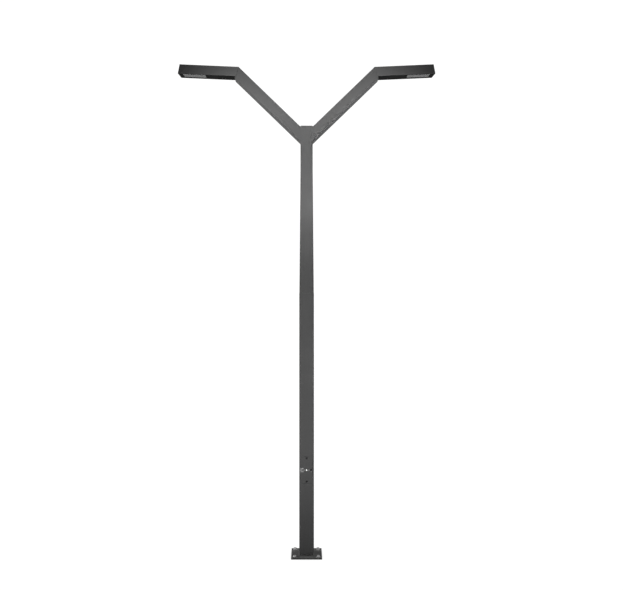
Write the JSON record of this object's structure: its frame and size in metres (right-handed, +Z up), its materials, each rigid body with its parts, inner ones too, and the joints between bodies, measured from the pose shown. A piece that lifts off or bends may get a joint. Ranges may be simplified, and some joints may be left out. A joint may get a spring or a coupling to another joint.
{
  "type": "twin-arm street light",
  "caption": "Square-section steel light pole with a bolted base plate, a hinged access door, two inclined arms and a slim LED head on each arm.",
  "frame": {"origin": "centre of the base plate's underside", "axes": "+Z up the pole, -Y out of the access door, +X along the right arm"},
  "size_m": [2.0972, 0.25, 4.0107],
  "materials": {
    "coat": "fine-texture anthracite powder coat, matt",
    "black_coat": "matt black powder coat",
    "strap_coat": "worn grey paint on a steel bar",
    "zinc": "bright zinc-plated steel",
    "stainless": "satin stainless steel",
    "black_steel": "blackened steel",
    "aluminium": "mill-finish aluminium",
    "led_board": "white solder mask",
    "shell": "light grey moulded plastic",
    "lever": "black moulded plastic",
    "cable": "black cable sheath",
    "glass": "clear toughened glass"
  },
  "bodies": {
    "pole": {"anchor_washer_1": "zinc", "anchor_washer_2": "zinc", "anchor_washer_3": "zinc", "anchor_washer_4": "zinc", "anchor_bolt_1": "zinc", "anchor_bolt_2": "zinc", "anchor_bolt_3": "zinc", "anchor_bolt_4": "zinc", "base_plate": "coat", "lower_shaft": "coat", "joint_sleeve": "zinc", "joint_bolt_1": "black_steel", "joint_bolt_2": "black_steel", "upper_shaft": "coat", "pole_top_cap": "coat", "door_frame": "coat", "hinge_bracket": "stainless", "hinge_pin": "stainless", "equipment_board": "aluminium", "breaker_body": "shell", "terminal_block": "shell", "earth_bolt": "zinc", "left_arm": "coat", "left_feed_cable": "cable", "left_head_housing": "coat", "left_head_end_cap": "coat", "left_spigot": "coat", "left_driver": "shell", "left_driver_cover": "black_coat", "left_cover_screw": "black_steel", "left_glass_frame": "black_coat", "left_window_glass": "glass", "left_led_board": "led_board", "left_heat_sink": "aluminium", "right_arm": "coat", "right_feed_cable": "cable", "right_head_housing": "coat", "right_head_end_cap": "coat", "right_spigot": "coat", "right_driver": "shell", "right_driver_cover": "black_coat", "right_cover_screw": "black_steel", "right_glass_frame": "black_coat", "right_window_glass": "glass", "right_led_board": "led_board", "right_heat_sink": "aluminium"},
    "door": {"access_door": "coat", "hinge_leaf": "stainless", "door_strap": "strap_coat", "strap_bolt": "zinc", "strap_nut": "zinc", "lock_nut": "zinc", "lock_body": "black_steel"},
    "lock_core": {"lock_lever": "stainless", "lock_cam": "zinc", "lock_cam_screw": "zinc"},
    "top_screw": {"door_screw_top": "black_steel"},
    "bottom_screw": {"door_screw_bottom": "black_steel"},
    "breaker_switch": {"breaker_lever": "lever"}
  },
  "joints": [
    {"name": "door_hinge", "type": "hinge", "parent": "pole", "child": "door", "pos_m": [-0.0495, -0.066, 0.707], "axis": [0, 0, -1], "range_deg": [0, 110]},
    {"name": "lock_turn", "type": "hinge", "parent": "door", "child": "lock_core", "pos_m": [0.0375, -0.06, 0.707], "axis": [0, -1, 0], "range_deg": [0, 90]},
    {"name": "top_screw_out", "type": "slide", "parent": "door", "child": "top_screw", "axis": [0, -1, 0], "range_m": [0, 0.006]},
    {"name": "bottom_screw_out", "type": "slide", "parent": "door", "child": "bottom_screw", "axis": [0, -1, 0], "range_m": [0, 0.006]},
    {"name": "breaker_flip", "type": "hinge", "parent": "pole", "child": "breaker_switch", "pos_m": [0, -0.02, 0.692], "axis": [1, 0, 0], "range_deg": [0, 60]}
  ]
}
